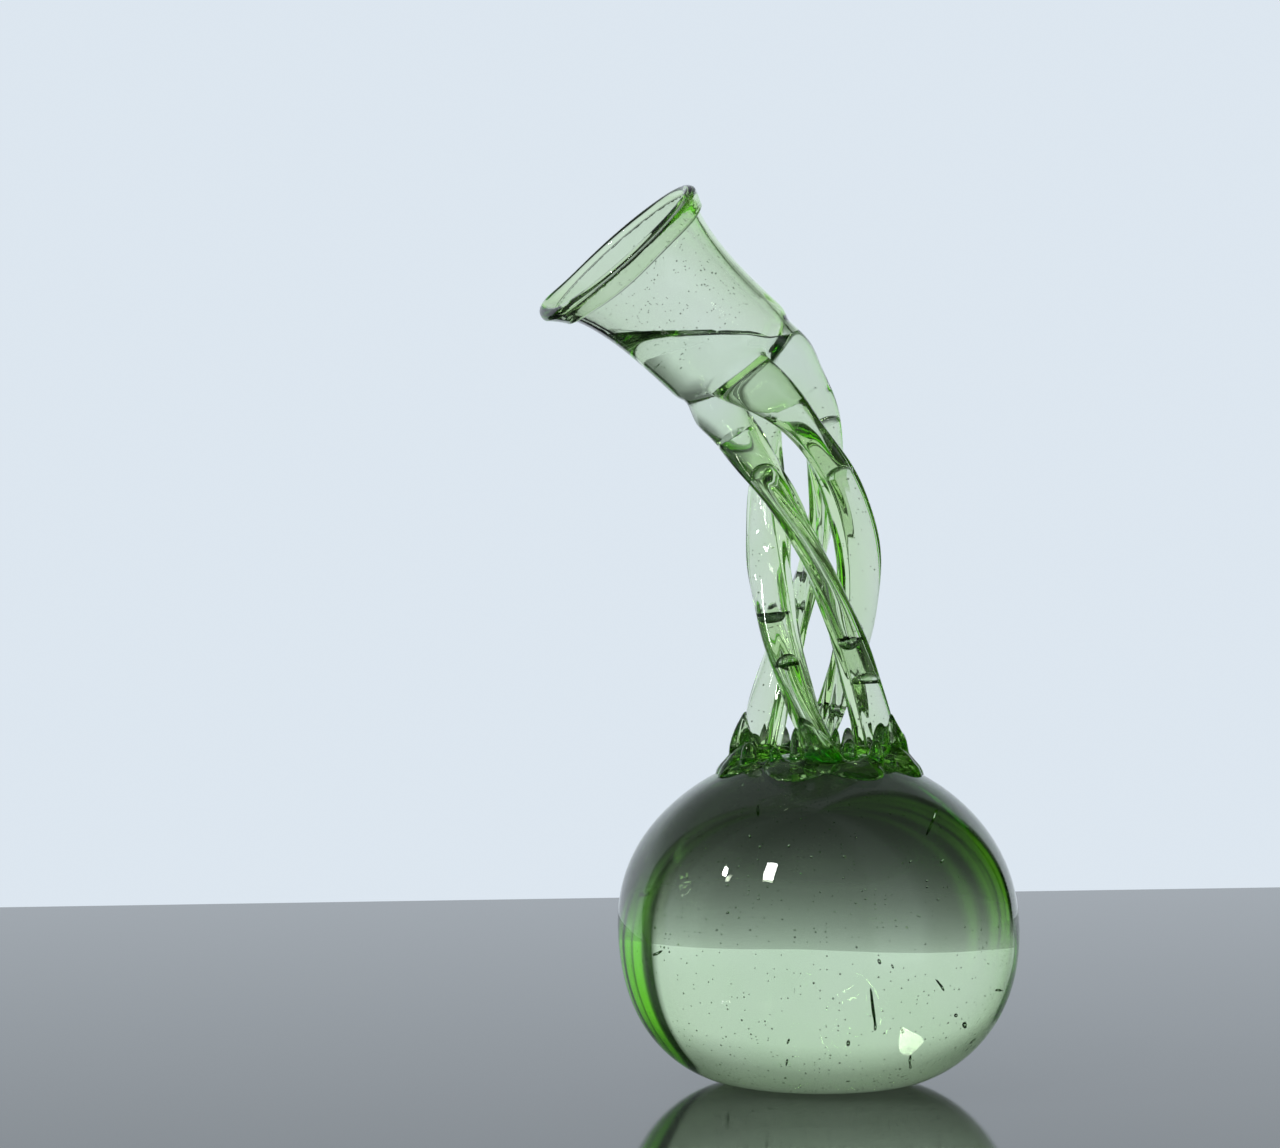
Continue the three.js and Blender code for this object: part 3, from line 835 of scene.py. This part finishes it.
FOOT_HEIGHT = 10.5 * MM
FOOT_LOW = 2.6 * MM
FOOT_THICKNESS = 2.5 * MM
FOOT_TIP = 0.6 * MM
FOOT_SPREAD = math.radians(88)
FOOT_START = -0.12
FOOT_ROWS = 40
FOOT_RIDGE = 0.22
FOOT_SINK = 0.1 * MM


def foot_grid(number):
    """Rows up the foot, each a loop: out along its outer face and back along the tube. Height and thickness
    fall off by cos^2 to both sides, thickness also by 1 - row^1.5 upwards, and ridges run up the outer
    face."""
    loop = np.linspace(0, 2 * np.pi, 96, endpoint=False)
    across = np.cos(loop)
    outwards = np.clip(np.sin(loop) * 1.6, 0, 1) * np.clip(np.sin(loop), 0, 1) ** 0.3
    peak = np.cos(across * QUARTER * 0.999) ** 2
    rows = np.concatenate([[FOOT_START], np.linspace(FOOT_START, 1, FOOT_ROWS)])[:, None]
    height = FOOT_LOW + (FOOT_HEIGHT - FOOT_LOW) * peak
    ridge = 1 + FOOT_RIDGE * np.cos(13 * across + 2 * number + 3 * rows)
    thick = FOOT_TIP + (FOOT_THICKNESS - FOOT_TIP) * peak * (1 - np.clip(rows, 0, 1) ** 1.5)
    share = TUBE_FROM + rows * height / NECK_LENGTH
    around = np.broadcast_to(across * FOOT_SPREAD, share.shape)
    grid = beside_tube(number, share, around, outwards * thick * ridge - FOOT_SINK)
    return np.concatenate([grid, grid[-1:]])


wreath_parts = [wreath_grid()[1:-1], *map(foot_grid, range(len(TUBES))), *lump_grids()]
wreath = melted("pulled_wreath", wreath_parts, WREATH_VOXEL, WREATH_SMOOTHING)
wreath_glass = blown_glass("wreath_glass", WREATH_DENSITY_WITH_PAINTED_SHADE, ripple=0.2 * MM, ripple_size=3.5 * MM)
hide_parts("root_wreath", *(f"tube_foot_{place}" for place in TUBES))
finished(wreath, wreath_glass)

# ---- Mouth cup ----
# The flared mouth, blown thin and drooping to one side, with seeds all through it.

CUP_LENGTH = 41 * MM
CUP_MOUTH = 25.6 * MM
CUP_FLARE = 3.2
CUP_WALL = 1.7 * MM
CUP_LEAN = math.radians(47)
MOUTH_TILT = math.radians(42)
MOUTH_FACING = math.radians(9.5)
MOUTH_FORWARD = 3 * MM
SPOUT_PULL = 1.0 * MM
THROAT_THICKNESS = 3.2 * MM
CUP_START = THROAT_THICKNESS + 2 * CLEARANCE
THROAT_OVERHANG = 0.8 * MM
CUP_WOBBLE = 0.25 * MM
CUP_WALL_WAVE = 0.25 * MM
end_middle, end_deep, _ = tube_section(np.array(1.0))
THROAT_RADIUS = end_middle + end_deep + THROAT_OVERHANG
CUP_ROUND = np.linspace(0, 2 * np.pi, 180, endpoint=False)


def cup_radius(height):
    """Outer radius: the throat's radius, growing to the mouth's by a power of the height."""
    share = np.clip(height / CUP_LENGTH, 0, None)
    return THROAT_RADIUS + (CUP_MOUTH - THROAT_RADIUS) * share**CUP_FLARE


def in_cup(radius, angle, height):
    """Lays points (radius, angle, height) into the cup's frame: planes tilt from the neck's tilt to the
    mouth's and turn towards -Y, while their centres go along a line that leans further and bows forward.
    Near the mouth the low side is pulled out to a spout, and the radius wobbles by cos(3 angle + 1)."""
    radius, angle, height = np.broadcast_arrays(radius, angle, height)
    share = height / CUP_LENGTH
    tilt = NECK_TILT + (MOUTH_TILT - NECK_TILT) * share
    facing = MOUTH_FACING * share
    low = np.clip(-np.cos(angle), 0, None) ** 4
    wobble = CUP_WOBBLE * np.cos(3 * angle + 1) * np.clip(share, 0, 1) ** 2
    reach = radius + low * SPOUT_PULL * np.clip(share, 0, None) ** 8 + wobble
    x, y = reach * np.cos(angle), reach * np.sin(angle)
    y, z = y * np.cos(facing), y * np.sin(facing)
    x, z = x * np.cos(tilt) - z * np.sin(tilt), x * np.sin(tilt) + z * np.cos(tilt)
    start = neck_frame(np.array([1 + CUP_START / NECK_LENGTH]))[0][0]
    x = x + start[0] - height * math.sin(CUP_LEAN)
    y = y - MOUTH_FORWARD * share**2
    z = z + start[2] + height * math.cos(CUP_LEAN)
    return np.stack([x, y, z], axis=-1)


CROWN_VOXEL = 0.55 * MM
SOLID_SMOOTHING = 36
CROWN_SMOOTHING = 34
CROWN_KEEP = 0.3
CROWN_STEPS = 80
CUP_BOTTOM = 9.8 * MM
CUP_FLOOR = 8.2 * MM
# How deep the rows of a rounded bottom go, as a share of its depth, and how far the inside passes the rim.
BOTTOM_ROWS = 0.97
PAST_RIM = 6 * MM
# How far below the crown's cut, and up to which share of the neck, the melted bores and tubes go.
BORE_BELOW = 0.03
BORE_REACH = 1.07
TUBE_BELOW = 0.02
TUBE_REACH = 1.03
CUTTER_RADIUS = 60 * MM
CUTTER_DEPTH = 40 * MM
SOFT_LEAST = 0.1
SOFT_FROM = 1.5 * MM
SOFT_TO = 9 * MM
NECK_DENSITY = 0.8 * GLASS_DENSITY


def cup_thickness(angle, height):
    """The cup's wall: its usual thickness with a slow wave round it and up it."""
    return CUP_WALL + CUP_WALL_WAVE * np.cos(2 * angle + 40 * height)


def below_crown(name):
    """A block that holds everything below the plane across the neck at the crown's cut."""
    centre, side, forward = (axis[0] for axis in neck_frame(np.array([CROWN_CUT])))
    angles = np.linspace(0, 2 * np.pi, 24, endpoint=False)[None, :, None]
    ring = (side * np.cos(angles) + BACK * np.sin(angles)) * CUTTER_RADIUS
    block = np.concatenate([centre + ring, centre + ring - forward * CUTTER_DEPTH])
    return skin(name, closed_by_ends(block))


def crown_softness(places):
    """Share of the smoothing by height above the crown's cut: little at the cut, where the tubes go on, and
    all of it a few millimetres higher."""
    centre, _, forward = (axis[0] for axis in neck_frame(np.array([CROWN_CUT])))
    return SOFT_LEAST + (1 - SOFT_LEAST) * smooth((places - centre) @ forward, SOFT_FROM, SOFT_TO)


def bowl(height, depth):
    """The share of its radius that the cup has left below its start, where its bottom is a half ellipse of
    this depth: sqrt(1 - (height / depth)^2)."""
    return np.sqrt(1 - np.clip(-height / depth, 0, 1) ** 2)


def melting_tubes(below, reach, thinned):
    """The outer surfaces and the bores of the four tubes' upper ends, as two lists of grids."""
    start = CROWN_CUT - below
    skins = [tube_skins(number, start, reach, CROWN_STEPS, thinned) for number in range(len(TUBES))]
    return list(zip(*skins))


def crown_insides(thinned=thinned_crown):
    """Closed grids of the four bores' ends and of the inside of the cup, up past its rim."""
    bores = melting_tubes(BORE_BELOW, BORE_REACH, thinned)[1]
    heights = np.linspace(-BOTTOM_ROWS * CUP_FLOOR, CUP_LENGTH + PAST_RIM, 110)[:, None]
    radius = (cup_radius(heights) - cup_thickness(CUP_ROUND, heights)) * bowl(heights, CUP_FLOOR)
    return [*bores, in_cup(radius, CUP_ROUND, heights)]


def melted_crown(name, grids, smoothing):
    """Grids of the crown melted together, stiff at its cut and with a share of their faces left."""
    return melted(name, grids, CROWN_VOXEL, smoothing, CROWN_KEEP, crown_softness)


def make_crown():
    """Glass = the tubes' ends and the cup as one melted solid, without their insides as another, cut square
    across the neck and joined to the tubes."""
    tubes = melting_tubes(TUBE_BELOW, TUBE_REACH, thinned_crown)[0]
    heights = np.linspace(-BOTTOM_ROWS * CUP_BOTTOM, CUP_LENGTH, 120)[:, None]
    cup = in_cup(cup_radius(heights) * bowl(heights, CUP_BOTTOM), CUP_ROUND, heights)
    solid = melted_crown("crown_solid", [*tubes, cup], SOLID_SMOOTHING)
    hollow = melted_crown("crown_hollow", crown_insides(), CROWN_SMOOTHING)
    made = combined(solid, hollow, "DIFFERENCE", "crown_shell")
    made = combined(made, below_crown("crown_cutter"), "DIFFERENCE", "crown_end")
    for number in range(len(TUBES)):
        outer, bore = tube_skins(number)
        tube = skin(f"tube_{number}", np.concatenate([outer, bore[::-1]]), True)
        made = combined(made, tube, "UNION", f"crown_and_{number + 1}")
    return made


crown = make_crown()
crown.name = "melted_neck_and_cup"
seed_centres, seed_radii = zip(*map(tube_seeds, range(len(TUBES))))
cup_heights = np.linspace(4 * MM, CUP_LENGTH - 2 * MM, 90)[:, None]
cup_outer = in_cup(cup_radius(cup_heights), CUP_ROUND, cup_heights)
cup_inner = in_cup(cup_radius(cup_heights) - CUP_WALL, CUP_ROUND, cup_heights)
cup_seeds = seeds_between(
    cup_outer, cup_inner, count=330, smallest=0.16 * MM, largest=0.3 * MM, seed=60
)
every_seed = np.concatenate([*seed_centres, cup_seeds[0]]), np.concatenate([*seed_radii, cup_seeds[1]])
seed_bubbles = new_object("crown_seeds", *map(np.ndarray.tolist, bubbles(*every_seed)))
neck_glass = blown_glass("cup_glass", NECK_DENSITY, ripple=0.02 * MM, ripple_size=8 * MM)
with_seeds = joined("blown_neck_and_cup", [
    (np.array([v.co for v in part.data.vertices]), [list(p.vertices) for p in part.data.polygons])
    for part in (crown, seed_bubbles)
])
bpy.data.objects.remove(crown)
bpy.data.objects.remove(seed_bubbles)
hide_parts("throat_saddle", "mouth_cup", *(f"neck_tube_{place}" for place in TUBES))
finished(with_seeds, neck_glass)

# ---- Folded lip ----
# The rim was folded outwards and down over the cup, and melted to a round bead, so the glass is double for a
# few millimetres below the edge.

FOLD_LENGTH = 4.6 * MM
FOLD_THICKNESS = 1.4 * MM
FOLD_EDGE = 0.8 * MM
BEAD_HEIGHT = 1.9 * MM
BEAD_OVERHANG = 0.3 * MM
LIP_SINK = 0.06 * MM
EDGE_WAVES = (0.35 * MM, 0.2 * MM)
CURL_TURN = 0.25
CURL_RISE = 1.6 * MM
CURL_OUT = 0.9
CURL_REACH = 2 * MM


def lip_grid():
    """A loop of (radius, height) round the cup's rim: down the fold's outside, round its lower edge, up the
    cup's outside, over the rim, and back over the bead. It sinks into the cup by a hair. The fold's lower
    edge waves round the cup, and the bead curls up and out on the low side by (-cos(angle))^8."""
    down = np.linspace(CUP_LENGTH, CUP_LENGTH - FOLD_LENGTH, 14)
    outside = np.stack([cup_radius(down) + CLEARANCE + FOLD_THICKNESS, down], axis=1)
    half = (CLEARANCE + FOLD_THICKNESS) / 2
    lower = arc((cup_radius(down[-1]) + half, down[-1]), half, FOLD_EDGE, 0, -np.pi, 9)[1:-1]
    inside = np.stack([cup_radius(down[::-1]) - LIP_SINK, down[::-1]], axis=1)
    outer_edge = cup_radius(CUP_LENGTH) + CLEARANCE + FOLD_THICKNESS
    inner_edge = cup_radius(CUP_LENGTH) - CUP_WALL - BEAD_OVERHANG
    seat_height = CUP_LENGTH - LIP_SINK
    seat = np.array([[cup_radius(CUP_LENGTH) - LIP_SINK, seat_height], [inner_edge, seat_height]])
    bead_centre = ((outer_edge + inner_edge) / 2, CUP_LENGTH)
    bead = arc(bead_centre, (outer_edge - inner_edge) / 2, BEAD_HEIGHT, np.pi, 0, 25)[:-1]
    loop = np.concatenate([outside, lower, inside, seat, bead])
    curl = np.clip(-np.cos(CUP_ROUND + CURL_TURN), 0, 1) ** 8
    uneven = EDGE_WAVES[0] * np.cos(2 * CUP_ROUND + 0.5) + EDGE_WAVES[1] * np.cos(5 * CUP_ROUND)
    low_part = smooth(-loop[:, 1], -(CUP_LENGTH - FOLD_LENGTH * 0.5), -(CUP_LENGTH - FOLD_LENGTH))
    height = loop[:, 1, None] + low_part[:, None] * uneven
    over_rim = np.clip((loop[:, 1] - CUP_LENGTH) / BEAD_HEIGHT, 0, 1)[:, None]
    height = height + over_rim * curl * CURL_RISE
    outward = np.clip(loop[:, 0] - cup_radius(CUP_LENGTH), 0, CURL_REACH)[:, None]
    return in_cup(loop[:, 0, None] + outward * curl * CURL_OUT, CUP_ROUND, height)


lip = skin("folded_rim", lip_grid(), True)
lip_glass = blown_glass("lip_glass", GLASS_DENSITY, ripple=0.03 * MM, ripple_size=4 * MM)
lip.data.materials.append(lip_glass)
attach(lip, "root")
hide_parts("folded_lip")

# ---- Water ----
# The vase is full: water fills the bulb, stands level in the tilted cup, and hangs in the tubes in short
# columns between trapped air. It overlaps the glass by a hair, which is how light crosses from one to the
# other.

WATER_IOR = 1.333
WATER_OVERLAP = 0.06 * MM
WATER_LEVEL = 212.5 * MM
WATER_ABSORBS = (0.6, 1.0, 0.6, 1)
WATER_DENSITY = 1.0
WATER_TINT = (0.97, 1.0, 0.975, 1)
WAVE_SCALE = 60
WAVE_DISTANCE = 0.01 * MM
CLIMB = 1.8 * MM
CLIMB_REACH = 1.6 * MM
LEVEL_RADIUS = 75 * MM
LEVEL_HEIGHT = 70 * MM
COLUMN_HOLLOW = 3.4 * MM
CAP_STEPS = 14
# Where the water that hangs from the cup ends in each tube, as a share of the neck.
CROWN_WATER_STARTS = [0.71, 0.66, 0.77, 0.69]
# The tube's number and the shares of the neck between which its other water stands.
WATER_COLUMNS = [(0, 0.19, 0.30), (1, 0.045, 0.13), (2, 0.36, 0.45), (3, 0.23, 0.36)]


def still_water():
    """Clear water with the faintest green and the faintest wave on its surface."""
    material = bpy.data.materials.new("water")
    material.use_nodes = True
    nodes, links = material.node_tree.nodes, material.node_tree.links
    shader = nodes["Principled BSDF"]
    shader.inputs["Transmission Weight"].default_value = 1
    shader.inputs["IOR"].default_value = WATER_IOR
    shader.inputs["Roughness"].default_value = 0
    place = nodes.new("ShaderNodeTexCoord")
    wave = nodes.new("ShaderNodeTexNoise")
    wave.inputs["Scale"].default_value = WAVE_SCALE
    links.new(place.outputs["Object"], wave.inputs["Vector"])
    tint = nodes.new("ShaderNodeValToRGB")
    tint.color_ramp.elements[0].color = WATER_TINT
    tint.color_ramp.elements[1].color = (1, 1, 1, 1)
    links.new(wave.outputs["Fac"], tint.inputs["Fac"])
    links.new(tint.outputs["Color"], shader.inputs["Base Color"])
    bump = nodes.new("ShaderNodeBump")
    bump.inputs["Strength"].default_value = 1
    bump.inputs["Distance"].default_value = WAVE_DISTANCE
    links.new(wave.outputs["Fac"], bump.inputs["Height"])
    links.new(bump.outputs["Normal"], shader.inputs["Normal"])
    volume = nodes.new("ShaderNodeVolumeAbsorption")
    volume.inputs["Color"].default_value = WATER_ABSORBS
    volume.inputs["Density"].default_value = WATER_DENSITY
    links.new(volume.outputs[0], nodes["Material Output"].inputs["Volume"])
    return material


water_material = still_water()


def add_water(name, grid):
    """A closed body of water on the root body."""
    made = skin(name, grid)
    made.data.materials.append(water_material)
    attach(made, "root")


def bulb_water_grid():
    """The bulb's inner surface, pushed out by the overlap, closed by a flat floor and a flat top."""
    radius = np.linalg.norm(bulb_inner[..., :2], axis=-1, keepdims=True)
    wall = bulb_inner.copy()
    wall[..., :2] *= 1 + WATER_OVERLAP / radius
    wall[..., 2] += WATER_OVERLAP * (wall[..., 2] - BULB_EQUATOR) / BULB_RISE
    share = np.linspace(0, 1, CAP_STEPS)[:, None, None]
    on_axis = np.array([0.0, 0.0, 1.0])
    low_centre = wall[0].mean(axis=0) * on_axis
    high_centre = wall[-1].mean(axis=0) * on_axis
    floor_rows = low_centre + (wall[0] - low_centre) * share
    top_rows = wall[-1] + (high_centre - wall[-1]) * share
    return np.concatenate([floor_rows, wall[1:], top_rows[1:]])


def level_cutter():
    """Everything above the water's level. Its lower side climbs the glass: level + climb x exp(-d / reach),
    with d the distance from the cup's inner wall at that level, and 0 outside it."""
    heights = np.linspace(-8 * MM, CUP_LENGTH, 300)[:, None]
    wall = in_cup(cup_radius(heights) - cup_thickness(CUP_ROUND, heights), CUP_ROUND, heights)
    nearest = np.abs(wall[..., 2] - WATER_LEVEL).argmin(axis=0)
    shore = wall[nearest, np.arange(len(CUP_ROUND))][:, :2]
    middle = (shore.max(axis=0) + shore.min(axis=0)) / 2
    angles = np.linspace(0, 2 * np.pi, 96, endpoint=False)
    reach = np.linspace(0, 1, 90)[:, None] ** 1.5 * LEVEL_RADIUS
    x, y = middle[0] + reach * np.cos(angles), middle[1] + reach * np.sin(angles)
    gap = np.hypot(x[..., None] - shore[:, 0], y[..., None] - shore[:, 1]).min(axis=-1)
    shore_reach = np.hypot(*(shore - middle).T)
    shore_angle = np.arctan2(*(shore - middle).T[::-1])
    edge = np.interp(angles, shore_angle, shore_reach, period=2 * np.pi)
    gap = np.where(reach < edge, gap, 0)
    under = np.stack([x, y, WATER_LEVEL + CLIMB * np.exp(-gap / CLIMB_REACH)], axis=-1)
    over = under[::-1] * [1, 1, 0] + [0, 0, WATER_LEVEL + LEVEL_HEIGHT]
    return skin("level_cutter", np.concatenate([under, over]))


def swollen_crown(share):
    """How much the crown's bores give way for its water, whose end is hidden in the tubes' columns."""
    return -thinned_crown(share)


def crown_water():
    """The insides of the crown, swollen by the overlap, below the level and above the crown's cut."""
    water = melted_crown("crown_water_solid", crown_insides(swollen_crown), CROWN_SMOOTHING)
    mesh = water.data
    places = np.empty(len(mesh.vertices) * 3, dtype=np.float32)
    normals = np.empty(len(mesh.vertices) * 3, dtype=np.float32)
    mesh.vertices.foreach_get("co", places)
    mesh.vertex_normals.foreach_get("vector", normals)
    mesh.vertices.foreach_set("co", places + normals * WATER_OVERLAP)
    mesh.update()
    water = combined(water, level_cutter(), "DIFFERENCE", "crown_water_level")
    water = combined(water, below_crown("water_cutter"), "DIFFERENCE", "crown_water")
    for number, start in enumerate(CROWN_WATER_STARTS):
        column = skin(f"top_column_{number}", column_grid(number, start, TUBE_TO))
        water = combined(water, column, "UNION", f"water_with_{number + 1}")
    return water


def column_grid(number, start, end):
    """A column of water in a bore between two shares of the neck: the bore pushed out by the overlap. Its
    ends are hollow towards the air: depth x sqrt(1 - (1 - i)^2), with i the share of the way in."""
    steps = max(12, int((end - start) * TUBE_STEPS))
    share = np.linspace(start, end, steps)[:, None]
    share = np.broadcast_to(share, (steps, len(TUBE_ROUND)))
    around = np.broadcast_to(TUBE_ROUND, share.shape)
    wall = bore_surface(number, share, around, WATER_OVERLAP - 2 * thinned_tube(share))
    inward = np.linspace(0, 1, CAP_STEPS)[:, None, None]
    dip = (1 - (1 - inward) ** 2) ** 0.5

    def cap(edge, at, sign):
        centre = edge.mean(axis=0)
        forward = neck_frame(np.array([at]))[2][0]
        return edge + (centre - edge) * inward + forward * (sign * COLUMN_HOLLOW * dip)

    low = cap(wall[0], start, 1)[::-1]
    high = cap(wall[-1], end, -1)
    return np.concatenate([low[:-1], wall, high[1:]])


add_water("water_in_bulb", bulb_water_grid())
cup_water = crown_water()
cup_water.name = "water_in_cup"
finished(cup_water, water_material)
for count, (number, start, end) in enumerate(WATER_COLUMNS):
    add_water(f"water_column_{count + 1}", column_grid(number, start, end))
